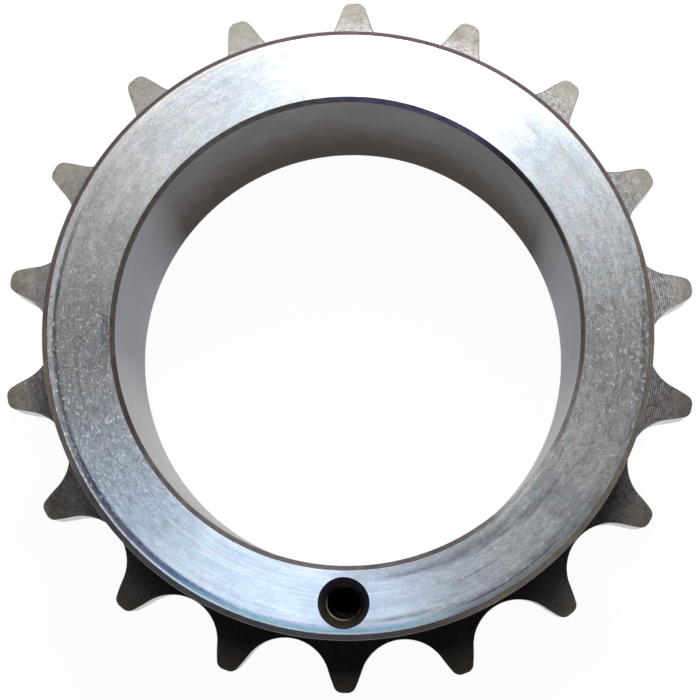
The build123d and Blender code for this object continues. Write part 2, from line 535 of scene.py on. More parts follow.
def side_rows(t):
    """Rows of a tooth side from the gap's middle to the tip, rounded to a nanometre so that rows
    that coincide count once. Each is given by its radius, by the angle from the tooth's middle
    at which it meets the side's edge, and by the direction in which the flank faces there,
    measured from the tooth's middle too."""
    outline, outward = half_tooth(t)
    inner = outline - outward * t.edge_break
    radius = np.linalg.norm(inner, axis=1)
    start = t.tip - t.relief
    seats = radius[: SEAT_ROWS * SEAT_STRIDE : SEAT_STRIDE]
    step = t.groove_pitch / ROWS_PER_GROOVE
    grooved = start - np.arange(int((start - seats[-1]) / step), -1, -1) * step
    grooved = grooved[grooved > seats[-1] + SEAT_GAP]
    relief = np.linspace(start, radius[-CORNER_STEPS - 1], RELIEF_ROWS + 1)[1:]
    corner = radius[-CORNER_STEPS::CORNER_STRIDE]
    corner = corner[corner > relief[-1] + ROW_GAP]
    rows = np.unique(np.round(np.concatenate([seats, grooved, relief, corner, radius[-1:]]), 9))

    half_step = np.pi / t.count
    steps = np.arange(len(radius))
    at = np.interp(rows, radius, steps)
    edge = np.interp(at, steps, half_step - np.arctan2(inner[:, 1], inner[:, 0]))
    across, along = (np.interp(at, steps, outward[:, axis]) for axis in (0, 1))
    return rows, edge, half_step - np.arctan2(along, across)


def edge_section(level, t):
    """Steps of each row from the front side over its edge to the rear side, with the outline
    carried straight across the tooth's width between two quarter rounds. A step is pushed out
    by the edge's radius times the sine of its turn, and lies below the side by the radius
    times one less the cosine. Heights are over the plate's middle."""
    quarter = np.linspace(0, np.pi / 2, EDGE_STEPS + 1)[1:]
    push = t.edge_break * np.sin(quarter)
    sink = t.edge_break * (1 - np.cos(quarter))
    straight = level - t.edge_break - FLANK_SUPPORT
    height = np.concatenate([level - sink, straight, -straight, sink[::-1] - level], axis=1)
    return np.concatenate([push, [t.edge_break] * 2, push[::-1]]), height


def cover_root(surface, sides, turn, t, hub):
    """Covers the plate's inside: from each side's lowest row over a quarter round fillet into
    the hub's wall, and across between the two sides in there."""
    bend = np.linspace(0, np.pi / 2, FILLET_STEPS + 1)
    start, end = hub.hub + t.fillet + ROOT_SUPPORT, hub.hub - ROOT_DEPTH
    radius = np.concatenate([[start], hub.hub + t.fillet * (1 - np.sin(bend)), [end]])
    height = np.concatenate([[0], t.fillet * (1 - np.cos(bend)), [t.fillet + ROOT_RISE]])
    height = (t.width / 2 + height)[:, None]
    inside = []
    for up in (1, -1):
        ring = surface.add(polar(radius[:, None], turn, t.rear + t.width / 2 + up * height))
        lowest = sides[up][:, 0, :-1].reshape(1, -1)
        surface.cover(closed_round(np.concatenate([lowest, ring])), SIDE, turned=up == -1)
        inside.append(ring[-1])
    surface.cover(closed_round(np.stack(inside)), SIDE)


def plate_surface(t, hub):
    """Rows follow half a tooth's outline from the gap's middle to the tip corner. At each row a
    side is an arc at that radius across the tooth, so its rows are circles about the axis."""
    surface = Surface()
    rows, edge, facing = side_rows(t)
    half_step = np.pi / t.count
    middles = half_step + np.arange(t.count) * 2 * half_step
    tooth = middles[:, None, None]
    centre = t.rear + t.width / 2
    level = t.width / 2 - side_fall(rows, t)[:, None]

    # Sides, by tooth, row and column. Neighbours share the vertex in the middle of their gap.
    turn = tooth + TOOTH_COLUMNS * edge[:, None]
    sides = {up: surface.add(polar(rows[:, None], turn, centre + up * level)) for up in (1, -1)}
    for index in sides.values():
        index[:, 0, 0] = np.roll(index[:, 0, -1], 1)

    # Edge rounds and flanks, by tooth, row and step across, for each hand of the tooth.
    push, across = edge_section(level, t)
    flanks = {}
    for hand in (-1, 1):
        line = polar(rows[:, None], tooth + hand * edge[:, None], centre + across)
        out = polar(push, tooth + hand * facing[:, None], 0)
        flanks[hand] = surface.add(line + out)
    flanks[-1][:, 0] = np.roll(flanks[1][:, 0], 1, axis=0)

    # Tips: the outermost row, across the tooth.
    turn = tooth + (TOOTH_COLUMNS[1:-1] * edge[-1])[:, None]
    tips = surface.add(polar(rows[-1] + push, turn, centre + across[-1]))

    for k in range(t.count):
        for up in (1, -1):
            surface.cover(sides[up][k], SIDE, turned=up == 1)
        for hand in (-1, 1):
            end = slice(1) if hand == -1 else slice(-1, None)
            strip = [sides[1][k, :, end], flanks[hand][k], sides[-1][k, :, end]]
            surface.cover(np.concatenate(strip, axis=1), FLANK, turned=hand == -1)
        cap = np.concatenate([flanks[-1][k, -1:], tips[k], flanks[1][k, -1:]])
        cap = np.concatenate([sides[1][k, -1][:, None], cap, sides[-1][k, -1][:, None]], axis=1)
        surface.cover(cap, FLANK)

    turn = (middles[:, None] + TOOTH_COLUMNS[:-1] * edge[0]).reshape(-1)
    cover_root(surface, sides, turn, t, hub)
    return surface


# ---- Node helpers ----


def give(tree, node, values):
    """Sets a node's inputs, by name or number; a socket among the values is linked."""
    for key, value in values.items():
        if isinstance(value, bpy.types.NodeSocket):
            tree.links.new(value, node.inputs[key])
        else:
            node.inputs[key].default_value = value


def put(tree, kind, values=None, **settings):
    """A new node with its settings and inputs."""
    made = tree.nodes.new(kind)
    for name, value in settings.items():
        setattr(made, name, value)
    give(tree, made, values or {})
    return made


def work(tree, operation, *values, clamp=False):
    """The output of a math node."""
    values = dict(enumerate(values))
    return put(tree, "ShaderNodeMath", values, operation=operation, use_clamp=clamp).outputs[0]


def vector_work(tree, operation, *values, out=0):
    """An output of a vector math node."""
    values = dict(enumerate(values))
    return put(tree, "ShaderNodeVectorMath", values, operation=operation).outputs[out]


def spread(tree, vector, scale):
    """A vector multiplied by a number."""
    values = {0: vector, "Scale": scale}
    return put(tree, "ShaderNodeVectorMath", values, operation="SCALE").outputs[0]


def most(tree, *masks):
    """The greatest of several values."""
    total = masks[0]
    for mask in masks[1:]:
        total = work(tree, "MAXIMUM", total, mask)
    return total


def near_to(tree, value, middle, far, close):
    """A mask that is full where a value is within close of a middle, and gone past far."""
    off = work(tree, "ABSOLUTE", work(tree, "SUBTRACT", value, middle))
    return ramp(tree, off, far, close)


def ramp(tree, value, low, high, to_low=0.0, to_high=1.0):
    """A smooth step of a value between two bounds."""
    values = {0: value, 1: low, 2: high, 3: to_low, 4: to_high}
    return put(tree, "ShaderNodeMapRange", values, interpolation_type="SMOOTHSTEP").outputs[0]


def mix(tree, factor, a, b, blend="MIX"):
    """A colour between two others, each a socket or three numbers."""
    values = {6: a, 7: b}
    values = {k: v if isinstance(v, bpy.types.NodeSocket) else (*v, 1) for k, v in values.items()}
    values[0] = factor
    return put(tree, "ShaderNodeMix", values, data_type="RGBA", blend_type=blend).outputs[2]


def noise(tree, vector, scale=1.0, detail=2.0, rough=0.5, out="Fac"):
    """The value of a noise texture, or its colour."""
    values = {"Vector": vector, "Scale": scale, "Detail": detail, "Roughness": rough}
    return put(tree, "ShaderNodeTexNoise", values).outputs[out]


def grey(tree, level):
    """A grey from a number."""
    return put(tree, "ShaderNodeCombineColor", {0: level, 1: level, 2: level}).outputs[0]


def height_of(tree, place):
    """The third part of a vector."""
    return put(tree, "ShaderNodeSeparateXYZ", {0: place}).outputs[2]


def bump(tree, height, distance):
    """A normal from a height from 0 to 1 and the depth in metres that 1 stands for."""
    return put(tree, "ShaderNodeBump", {"Height": height, "Distance": distance}).outputs[0]


def group_of(name, inputs, outputs, fill):
    """A shader node group with named sockets, built once. Inputs are (name, kind) pairs, and
    outputs are names of numbers, or of a vector for Place."""
    if name in bpy.data.node_groups:
        return bpy.data.node_groups[name]
    tree = bpy.data.node_groups.new(name, "ShaderNodeTree")
    for label, kind in inputs:
        tree.interface.new_socket(name=label, in_out="INPUT", socket_type=f"NodeSocket{kind}")
    for label in outputs:
        kind = "Vector" if label == "Place" else "Float"
        tree.interface.new_socket(name=label, in_out="OUTPUT", socket_type=f"NodeSocket{kind}")
    into = tree.nodes.new("NodeGroupInput")
    out = tree.nodes.new("NodeGroupOutput")
    give(tree, out, fill(tree, into.outputs))
    return tree


def use(tree, group, **values):
    """The outputs of a group placed in a tree."""
    made = tree.nodes.new("ShaderNodeGroup")
    made.node_tree = group
    give(tree, made, values)
    return made.outputs


# ---- Effects that several finishes share ----

POSITION = ("Position", "Vector")
ACROSS = ("Across", "Float")
ROUND_GRAIN = 28 * MM  # distance from the axis at which grains are as long as they are wide


def round_place():
    """A place for patterns that run round the axis: the direction away from the axis, scaled by
    how often the pattern repeats along the arc, and a distance across the arc in pattern steps."""

    def fill(tree, given):
        flat = vector_work(tree, "MULTIPLY", given["Position"], (1, 1, 0))
        away = spread(tree, vector_work(tree, "NORMALIZE", flat), given["Turns"])
        steps = work(tree, "DIVIDE", given["Across"], given["Step"])
        up = put(tree, "ShaderNodeCombineXYZ", {2: steps}).outputs[0]
        return {"Place": vector_work(tree, "ADD", away, up)}

    inputs = [POSITION, ACROSS, ("Turns", "Float"), ("Step", "Float")]
    return group_of("RoundPlace", inputs, ["Place"], fill)


def along_arc(tree, position, across, turns, step):
    """The place that a pattern along the arc reads."""
    values = {"Position": position, "Across": across, "Turns": turns, "Step": step}
    return use(tree, round_place(), **values)["Place"]


def turned_lines():
    """Tool lines round the axis: noise that changes with every feed step across the arc and
    slowly along it, and streaks seven feed steps wide."""

    def fill(tree, given):
        position, across, step = given["Position"], given["Across"], given["Spacing"]
        fine = noise(tree, along_arc(tree, position, across, 3.0, step), detail=1.0)
        step = work(tree, "MULTIPLY", step, 7.0)
        wide = noise(tree, along_arc(tree, position, across, 1.7, step), detail=3.0, rough=0.6)
        return {"Fine": fine, "Streaks": ramp(tree, wide, 0.36, 0.66)}

    return group_of("TurnedLines", [POSITION, ACROSS, ("Spacing", "Float")], ["Fine", "Streaks"], fill)


def steel_grain():
    """Mottling of handled steel: fine grains drawn out along the arc, grit as fine and the same
    every way, short flecks at the peaks of a third noise, clouds some five grains wide, large
    patches, and small bright and dark specks in a few cells of a pattern bent out of round."""

    def fill(tree, given):
        position, size = given["Position"], given["Size"]
        turns = work(tree, "DIVIDE", ROUND_GRAIN, size)
        at = along_arc(tree, position, given["Across"], turns, size)
        patches = noise(tree, position, scale=70.0, detail=3.0, rough=0.55)
        grit = noise(tree, position, work(tree, "DIVIDE", 1.0, size), rough=0.75)
        elsewhere = vector_work(tree, "ADD", at, (7.3, 1.9, 4.1))
        peaks = noise(tree, elsewhere, scale=0.62, rough=0.6)
        bent = spread(tree, noise(tree, at, out="Color"), size)
        bent = vector_work(tree, "MULTIPLY_ADD", bent, (2.5, 2.5, 2.5), position)
        close, picks = cells_of(tree, bent, work(tree, "DIVIDE", 0.3, size), 0.26, 0.08)
        bright = work(tree, "GREATER_THAN", picks[0], 0.9)
        dark = work(tree, "LESS_THAN", picks[1], 0.05)
        return {
            "Grain": noise(tree, at, detail=3.0, rough=0.65),
            "Grit": grit,
            "Flecks": ramp(tree, peaks, 0.57, 0.67),
            "Clouds": noise(tree, at, scale=0.2, detail=3.0, rough=0.6),
            "Patches": ramp(tree, patches, 0.36, 0.64),
            "Specks": work(tree, "MULTIPLY", bright, close),
            "Pits": work(tree, "MULTIPLY", dark, close),
        }

    outputs = ["Grain", "Grit", "Flecks", "Clouds", "Patches", "Specks", "Pits"]
    return group_of("SteelGrain", [POSITION, ACROSS, ("Size", "Float")], outputs, fill)


def cells_of(tree, vector, scale, far, close):
    """A mask of the middles of a pattern's cells, and three numbers drawn for each cell."""
    cells = put(tree, "ShaderNodeTexVoronoi", {"Vector": vector, "Scale": scale}).outputs
    picks = put(tree, "ShaderNodeSeparateColor", {0: cells["Color"]}).outputs
    return ramp(tree, cells["Distance"], far, close), picks


def fine_scratches():
    """Short thin scratches: narrow bands of noise stretched along three directions, each
    broken up by a coarser noise."""

    def fill(tree, given):
        parts = []
        for turn, offset in ((0.4, 0.0), (1.5, 3.1), (2.5, 7.7)):
            values = {"Vector": given["Position"], "Location": (offset, offset, 0)}
            values["Rotation"] = (0, 0, turn)
            turned = put(tree, "ShaderNodeMapping", values).outputs[0]
            stretched = vector_work(tree, "MULTIPLY", turned, (950, 45, 200))
            thin = near_to(tree, noise(tree, stretched, detail=0.0), 0.5, 0.012, 0.003)
            here = ramp(tree, noise(tree, turned, scale=110.0, detail=1.0), 0.58, 0.66)
            parts.append(work(tree, "MULTIPLY", thin, here))
        return {"Mask": most(tree, *parts)}

    return group_of("FineScratches", [POSITION], ["Mask"], fill)


def small_spots():
    """A few small round spots, far apart, with ragged edges."""

    def fill(tree, given):
        moved = ragged(tree, given["Position"], 1500.0, 0.9 * MM)
        close, picks = cells_of(tree, moved, given["Density"], 0.085, 0.05)
        chosen = work(tree, "LESS_THAN", picks[1], given["Share"])
        return {"Mask": work(tree, "MULTIPLY", chosen, close)}

    return group_of("SmallSpots", [POSITION, ("Density", "Float"), ("Share", "Float")], ["Mask"], fill)


def ragged(tree, place, scale, reach):
    """A place moved a little by a noise, by half of the reach on average."""
    moved = noise(tree, place, scale, out="Color")
    return vector_work(tree, "MULTIPLY_ADD", moved, (reach, reach, reach), place)


def arc_mark():
    """A soft mark along an arc: full where the distance from the axis is near its middle and the
    direction is near its own, fading over its width and towards its ends."""

    def fill(tree, given):
        flat = vector_work(tree, "MULTIPLY", given["Position"], (1, 1, 0))
        away = vector_work(tree, "NORMALIZE", flat)
        radius = vector_work(tree, "LENGTH", flat, out=1)
        facing = vector_work(tree, "DOT_PRODUCT", away, given["Direction"], out=1)
        off = work(tree, "ABSOLUTE", work(tree, "SUBTRACT", radius, given["Middle"]))
        across = ramp(tree, work(tree, "DIVIDE", off, given["Width"]), 1.0, 0.25)
        along = work(tree, "POWER", ramp(tree, facing, given["Reach"], 1.0), 0.5)
        return {"Mask": work(tree, "MULTIPLY", across, along)}

    numbers = [(name, "Float") for name in ("Middle", "Width", "Reach")]
    return group_of("ArcMark", [POSITION, ("Direction", "Vector"), *numbers], ["Mask"], fill)


def shaded(tree, base, value, amount):
    """A colour made darker and lighter by a value round 0.5; amount is the change for a change
    of 1 in the value."""
    level = work(tree, "MULTIPLY_ADD", value, amount, 1 - amount / 2)
    return mix(tree, 1.0, base, grey(tree, level), "MULTIPLY")


def varied(tree, base, at, amount):
    """A colour whose red, green and blue each wander with a noise, by up to the given share."""
    hue = noise(tree, at, detail=3.0, out="Color")
    varied_base = mix(tree, 1.0, base, mix(tree, 1.0, hue, hue, "ADD"), "MULTIPLY")
    return mix(tree, amount, base, varied_base)


# ---- Finishes ----


class Steel:
    """A steel material while it is made: its nodes, its shader, the colour reached so far, and
    the places that patterns read: the object's own coordinates, the distance from the bore's
    axis and the direction away from it."""

    def __init__(self, name):
        self.material = bpy.data.materials.new(name)
        self.material.use_nodes = True
        self.tree = self.material.node_tree
        self.tree.nodes.clear()
        self.shader = put(self.tree, "ShaderNodeBsdfPrincipled")
        put(self.tree, "ShaderNodeOutputMaterial", {0: self.shader.outputs[0]})
        self.place = put(self.tree, "ShaderNodeTexCoord").outputs["Object"]
        flat = vector_work(self.tree, "MULTIPLY", self.place, (1, 1, 0))
        self.radius = vector_work(self.tree, "LENGTH", flat, out=1)
        self.away = vector_work(self.tree, "NORMALIZE", flat)
        self.base = None

    def times(self, a, b, clamp=False):
        """One value multiplied by another."""
        return work(self.tree, "MULTIPLY", a, b, clamp=clamp)

    def line(self, value, slope, start):
        """A value multiplied by a slope, with a start added."""
        return work(self.tree, "MULTIPLY_ADD", value, slope, start)

    def step(self, value, low, high):
        """A smooth step of a value between two bounds."""
        return ramp(self.tree, value, low, high)

    def most(self, *masks):
        """The greatest of several values."""
        return most(self.tree, *masks)

    def around(self, turns, step):
        """A place that repeats along the arc and changes with each step away from the axis."""
        return along_arc(self.tree, self.place, self.radius, turns, step)

    def lines(self, across, spacing):
        """Tool lines that follow one another in a direction across them."""
        return use(self.tree, turned_lines(), Position=self.place, Across=across, Spacing=spacing)

    def grain(self, across, size):
        """The mottling of handled steel, with grains of this size."""
        return use(self.tree, steel_grain(), Position=self.place, Across=across, Size=size)

    def scratches(self):
        """A mask of short thin scratches."""
        return use(self.tree, fine_scratches(), Position=self.place)["Mask"]

    def arcs(self, *arcs):
        """The strongest of several soft marks, each given as its turn in degrees, its distance
        from the axis and half width in millimetres, and half its arc in degrees."""
        masks = []
        for turn, middle, width, half_arc in arcs:
            turn, half_arc = np.radians(turn), np.radians(half_arc)
            values = {"Direction": (np.cos(turn), np.sin(turn), 0), "Reach": float(np.cos(half_arc))}
            values |= {"Middle": middle * MM, "Width": width * MM}
            masks.append(use(self.tree, arc_mark(), Position=self.place, **values)["Mask"])
        return self.most(*masks)

    def spots(self, *spots):
        """Ragged spots, each given as its turn in degrees, its distance from the axis, height
        and radius in millimetres. The noise that makes them ragged moves them by half its
        reach, so their middles are moved as far."""
        reach = 0.8 * MM
        moved = ragged(self.tree, self.place, 1200.0, reach)
        masks = []
        for turn, middle, height, size in spots:
            turn = np.radians(turn)
            centre = np.array([middle * np.cos(turn), middle * np.sin(turn), height]) * MM + reach / 2
            off = vector_work(self.tree, "DISTANCE", moved, tuple(centre), out=1)
            masks.append(self.step(off, size * MM, size / 2 * MM))
        return self.most(*masks)

    def tint(self, mask, colour, strength=1):
        """Lays a colour over the base where a mask says."""
        if strength < 1:
            mask = self.times(mask, strength, clamp=True)
        self.base = mix(self.tree, mask, self.base, colour)

    def mark(self, row, mask=None, colour=None, grit=None):
        """Lays a mark over the base and gives its mask. Its row of a table holds its strength,
        its colour and its arcs, which a further mask may break up, or which it stands for
        where there are none. A colour may stand for the table's, and the colour may be
        shaded by (value, amount)."""
        strength, own, *arcs = row
        if arcs:
            along = self.arcs(*arcs)
            mask = along if mask is None else self.times(along, mask, clamp=True)
        colour = own if colour is None else colour
        if grit:
            colour = shaded(self.tree, colour, *grit)
        self.tint(mask, colour, strength)
        return mask

    def shade(self, value, amount, mask=None):
        """Shades the base by a value round 0.5, over all of it or where a mask says."""
        made = shaded(self.tree, self.base, value, amount)
        self.base = made if mask is None else mix(self.tree, mask, self.base, made)

    def vary(self, at, amount):
        """Lets the base's red, green and blue wander."""
        self.base = varied(self.tree, self.base, at, amount)

    def finished(self, depth, relief, **inputs):
        """The material, with its base colour, its relief as a normal and the shader's inputs."""
        inputs |= {"Base Color": self.base, "Normal": bump(self.tree, relief, depth)}
        give(self.tree, self.shader, inputs)
        return self.material


# Marks on the hub face, in the order in which they are laid. Each row holds the strength, the
# colour and the arcs; an arc is its turn in degrees, its distance from the axis and half width in
# millimetres, and half its arc in degrees. What a row leaves out, the finish gives: the mask
# where there are no arcs, and the colour where there is None.
FACE_MARKS = {
    "cool_sides": (0.5, (0.57, 0.67, 0.76), (38, 55, 20, 34), (112, 55, 20, 32)),
    # Painted highlight: lighter sides of the face.
    "painted_light_sides": (0.26, (0.86, 0.88, 0.91), (141, 50, 3, 15), (21, 55, 20, 13), (341, 50.5, 3, 15)),
    "light_blotches": (0.34, (0.82, 0.90, 0.97)),
    "dark_blotches": (0.24, (0.30, 0.27, 0.32)),
    "shade": (0.24, (0.30, 0.31, 0.34), (298, 55, 40, 19)),
    "deep_shade": (
        0.28,
        (0.22, 0.23, 0.27),
        (288, 49.4, 2.6, 22),
        (322, 59, 1.8, 14),
        (279, 58.9, 0.9, 10),
    ),
    "smears": (
        0.75,
        (0.12, 0.125, 0.15),
        (283, 58.9, 0.60, 9),
        (293, 59.7, 0.50, 9),
        (303, 60.1, 0.40, 10),
        (313, 59.8, 0.30, 12),
        (288, 50.4, 0.70, 11),
        (300, 50.6, 1.00, 11),
        (310, 51.4, 0.75, 13),
        (319, 52.2, 0.60, 9),
        (300, 55.2, 0.22, 6),
        (311, 59.2, 0.9, 12),
        (192, 55.7, 0.14, 12),
        (182, 59.7, 0.62, 28),
        (203, 60.0, 0.26, 40),
        (181, 49.4, 1.2, 6),
        (302, 50.6, 1.6, 14),
    ),
    "crease": (0.88, (0.065, 0.085, 0.19), (229, 60, 0.66, 21), (214, 60, 0.45, 19), (305, 60, 0.2, 13)),
    "inner_crease": (1, (0.09, 0.10, 0.10), (179, 59.8, 0.5, 24)),
    "bright_rim": (0.85, (0.86, 0.83, 0.90), (168, 60.75, 0.75, 32), (212, 61.12, 0.26, 38)),
    "cream_rim": (0.8, (0.63, 0.61, 0.57), (131, 60.75, 0.8, 36)),
    "navy_rim": (0.75, (0.15, 0.155, 0.22), (221, 60.5, 0.55, 19)),
    "blue_rim": (0.7, (0.10, 0.26, 0.56), (241, 60.45, 0.5, 13)),
    "grey_rim": (0.5, (0.28, 0.28, 0.28), (116, 60.75, 0.8, 14)),
    "dull_corner": (0.22, (0.30, 0.30, 0.29), (142, 59.2, 1.2, 14)),
    "teal_rim": (1, None, (266, 60.55, 0.55, 30)),
    "violet_fringe": (0.7, (0.38, 0.42, 0.80), (256, 59.85, 0.26, 27)),
    "blue_lines": (
        0.75,
        (0.10, 0.36, 0.64),
        (264, 60.3, 0.09, 27),
        (258, 60.8, 0.09, 24),
        (268, 60.65, 0.07, 18),
    ),
    "pale_rim": (0.7, (0.72, 0.93, 1.0), (258, 61.1, 0.24, 34)),
    "dull_rim": (0.35, (0.2, 0.19, 0.19), (2, 60.75, 0.8, 15)),
    "grey_lower_rim": (0.35, (0.2, 0.2, 0.21), (309, 60.75, 0.8, 20)),
    "flecks": (0.75, (0.93, 0.94, 0.96)),
    "specks": (1, (0.95, 0.96, 0.97)),
    "stain": (0.6, (0.20, 0.155, 0.18), (0, 60.1, 0.8, 9), (352, 60.0, 0.6, 6)),
    "nicks": (1, (0.97, 0.92, 0.90)),
    "rust": (0.6, None),
    "pits": (0.35, (0.16, 0.16, 0.18)),
    "scratches": (0.15, (0.85, 0.87, 0.9)),
}
TEALS = (0.46, 0.86, 1.0), (0.20, 0.54, 0.92)


def face_finish(f):
    """Turned hub face: gloss spreads along the radius, because the lines run round the axis. Soft mottling,
    bright flecks on the handled sides, a lighter lower half and lighter sides that are painted highlight, a
    bluer film whose paleness is partly painted highlight, dark smears along the arc, and the rim's bevel
    with a dark crease inside it."""
    steel, marks = Steel("turned_face_steel"), FACE_MARKS
    lines = steel.lines(steel.radius, 0.22 * MM)
    grain = steel.grain(steel.radius, 0.27 * MM)
    grit, clouds = grain["Grit"], grain["Clouds"]
    brushed_at = steel.around(5.0, 0.5 * MM)
    brushed = noise(steel.tree, brushed_at, detail=4.0, rough=0.6)

    # The ground: warm patches, a lighter lower half and lighter sides that are painted highlight, and the
    # fine mottling.
    steel.base = mix(steel.tree, grain["Patches"], f.face, f.face_warm)
    # Painted highlight: the lower half of the face is lighter.
    painted_light_half = steel.arcs((268, 55, 20, 95))
    steel.tint(painted_light_half, f.face_lit_half)
    # Painted highlight: three sides of the face are lighter and neutral.
    painted_sheen_sides = steel.arcs((150, 55, 20, 32), (16, 55, 20, 30), (342, 55, 20, 20))
    steel.tint(painted_sheen_sides, f.face_side_sheen)
    # The cool sides are a bluer tint; the light sides are painted highlight.
    for name in ("cool_sides", "painted_light_sides"):
        steel.mark(marks[name])
    steel.vary(steel.around(16.0, 2.2 * MM), 0.08)
    steel.shade(grain["Grain"], 0.8 * f.speckle)
    steel.shade(grit, 1.5 * f.speckle)

    # The bluer film, which is cloudier than the rest. Its blue is the steel's own film, and its paleness is
    # partly painted highlight under the lower gloss.
    blue = steel.arcs((250, 57, 17, 56))
    film = varied(steel.tree, shaded(steel.tree, f.face_blue, brushed, 0.38), brushed_at, 0.16)
    film = shaded(steel.tree, film, grit, 1.2 * f.speckle)
    steel.tint(steel.times(blue, steel.line(clouds, 0.45, 0.72), clamp=True), film)
    calm = shaded(steel.tree, steel.base, clouds, 0.35 * f.speckle)
    steel.shade(clouds, 0.9 * f.speckle)
    steel.tint(blue, calm)

    # Grit and blotches where the ring was handled, and the shade between them.
    gritty = steel.arcs((338, 55, 30, 62), (186, 55, 30, 40))
    steel.shade(grit, 1.7 * f.speckle, gritty)
    blotch = noise(steel.tree, steel.around(24.0, 0.9 * MM), detail=3.0, rough=0.65)
    blotchy = steel.arcs((338, 55, 30, 60), (208, 55, 30, 26))
    blotchy = steel.most(blotchy, steel.times(gritty, 0.4))
    steel.mark(marks["light_blotches"], steel.times(blotchy, steel.step(blotch, 0.49, 0.66)))
    steel.mark(marks["dark_blotches"], steel.times(blotchy, steel.step(blotch, 0.50, 0.36)))
    steel.shade(blotch, 0.5, blotchy)
    for name in ("shade", "deep_shade"):
        steel.mark(marks[name])
    steel.vary(vector_work(steel.tree, "MULTIPLY", steel.place, (1800, 1800, 1800)), 0.11)
    steel.shade(grain["Patches"], 0.2 * f.speckle)
    steel.shade(lines["Streaks"], 0.25 * f.streaks)
    steel.shade(lines["Fine"], 0.35 * f.streaks)

    # Smears and the rim's bevel, broken up by brushed or streaky noise.
    torn = steel.step(steel.line(brushed, 0.45, steel.times(clouds, 0.55)), 0.40, 0.56)
    smears = steel.mark(marks["smears"], steel.line(torn, 0.6, 0.35))
    steel.mark(marks["crease"], steel.line(torn, 0.4, 0.7))
    steel.mark(marks["inner_crease"], steel.line(torn, 0.3, 0.3))
    bright_rim = steel.mark(marks["bright_rim"], steel.line(torn, 0.5, 0.6), grit=(grit, 1.0))
    steel.mark(marks["cream_rim"], grit=(grit, 0.8))
    for name in ("navy_rim", "blue_rim", "grey_rim", "dull_corner"):
        steel.mark(marks[name])
    streaky = noise(steel.tree, steel.around(38.0, 0.45 * MM), detail=3.0, rough=0.65)
    teal = mix(steel.tree, steel.step(streaky, 0.5, 0.66), *TEALS)
    steel.mark(marks["teal_rim"], steel.line(steel.step(streaky, 0.38, 0.6), 0.5, 0.5), teal)
    steel.mark(marks["violet_fringe"], steel.step(streaky, 0.66, 0.42))
    steel.mark(marks["blue_lines"], steel.step(streaky, 0.60, 0.44))
    for name in ("pale_rim", "dull_rim", "grey_lower_rim"):
        steel.mark(marks[name])

    # Small things on top.
    handled = steel.arcs((186, 55, 30, 40), (356, 56, 30, 34), (150, 58, 30, 40))
    handled = steel.most(handled, steel.times(steel.arcs((318, 56, 30, 50)), 0.22))
    flecks = steel.times(grain["Flecks"], steel.line(handled, 0.75, 0.06))
    steel.mark(marks["flecks"], flecks)
    steel.mark(marks["specks"], steel.times(grain["Specks"], steel.line(gritty, 0.4, 0.45)))
    steel.mark(marks["stain"], steel.step(blotch, 0.62, 0.42))
    nicks = steel.spots((359.9, 61.0, 64, 0.5), (352.3, 61.0, 64, 0.55), (351.2, 60.9, 64, 0.45))
    steel.mark(marks["nicks"], nicks)
    rust = steel.spots((181.2, 48.6, 64, 0.5), (179.4, 49.0, 64, 0.3), (174.0, 61.0, 64, 0.35))
    steel.mark(marks["rust"], rust, f.rust)
    steel.mark(marks["pits"], grain["Pits"])
    scratch = steel.mark(marks["scratches"], steel.scratches())

    rough = steel.line(grain["Grain"], 0.12, 0.298)
    for mask, rise in ((smears, 0.06), (flecks, 0.16), (bright_rim, 0.08)):
        rough = steel.line(mask, rise, rough)
    relief = steel.line(grain["Grain"], 0.5, steel.times(lines["Fine"], 0.5))
    relief = work(steel.tree, "SUBTRACT", relief, steel.times(scratch, 0.12))
    gloss = {"Metallic": 1.0, "Roughness": rough, "Anisotropic": 0.6, "Tangent": steel.away}
    return steel.finished(0.017 * MM, relief, **gloss)


def edge_finish(name, film, rubbed_film, corner, worn_arc, tints):
    """A chamfer: smooth turned steel under an oxide film, rubbed lighter here and there, tinted
    over some arcs, and worn bright along its corner with the hub face. The arcs are given as
    turn and half arc."""
    steel = Steel(name)
    grain = steel.grain(steel.radius, 0.3 * MM)
    clouds = grain["Clouds"]
    rubbed = steel.step(noise(steel.tree, steel.place, scale=34.0, detail=3.0), 0.48, 0.70)
    steel.base = mix(steel.tree, rubbed, film, rubbed_film)
    half_width = 8
    for turn, half_arc, tint in tints:
        steel.tint(steel.arcs((turn, corner / MM, half_width, half_arc)), tint)
    steel.shade(grain["Grain"], 0.8)
    steel.shade(clouds, 1.2)
    near = near_to(steel.tree, steel.radius, corner, 0.22 * MM, 0.05 * MM)
    turn, half_arc = worn_arc
    worn = steel.arcs((turn, corner / MM, half_width, half_arc))
    worn = steel.step(steel.line(worn, 0.5, steel.times(clouds, 0.6)), 0.40, 0.75)
    steel.tint(steel.times(near, worn), (0.62, 0.56, 0.55), 0.7)
    steel.tint(grain["Pits"], (0.02, 0.015, 0.015), 0.7)
    rough = steel.line(grain["Grain"], 0.2, 0.32)
    return steel.finished(0.02 * MM, grain["Grain"], Metallic=0.85, Roughness=rough)


def hub_edge_finish(s, f):
    """The hub's chamfers: brown oxide, olive, blue black and reddish over three arcs."""
    tints = [
        (335, 50, (0.165, 0.145, 0.115)),
        (245, 46, (0.06, 0.06, 0.08)),
        (75, 56, (0.14, 0.10, 0.108)),
    ]
    corner = s.hub - s.hub_chamfer
    return edge_finish("oxidised_hub_edge_steel", f.edge, f.edge_rubbed, corner, (80, 80), tints)


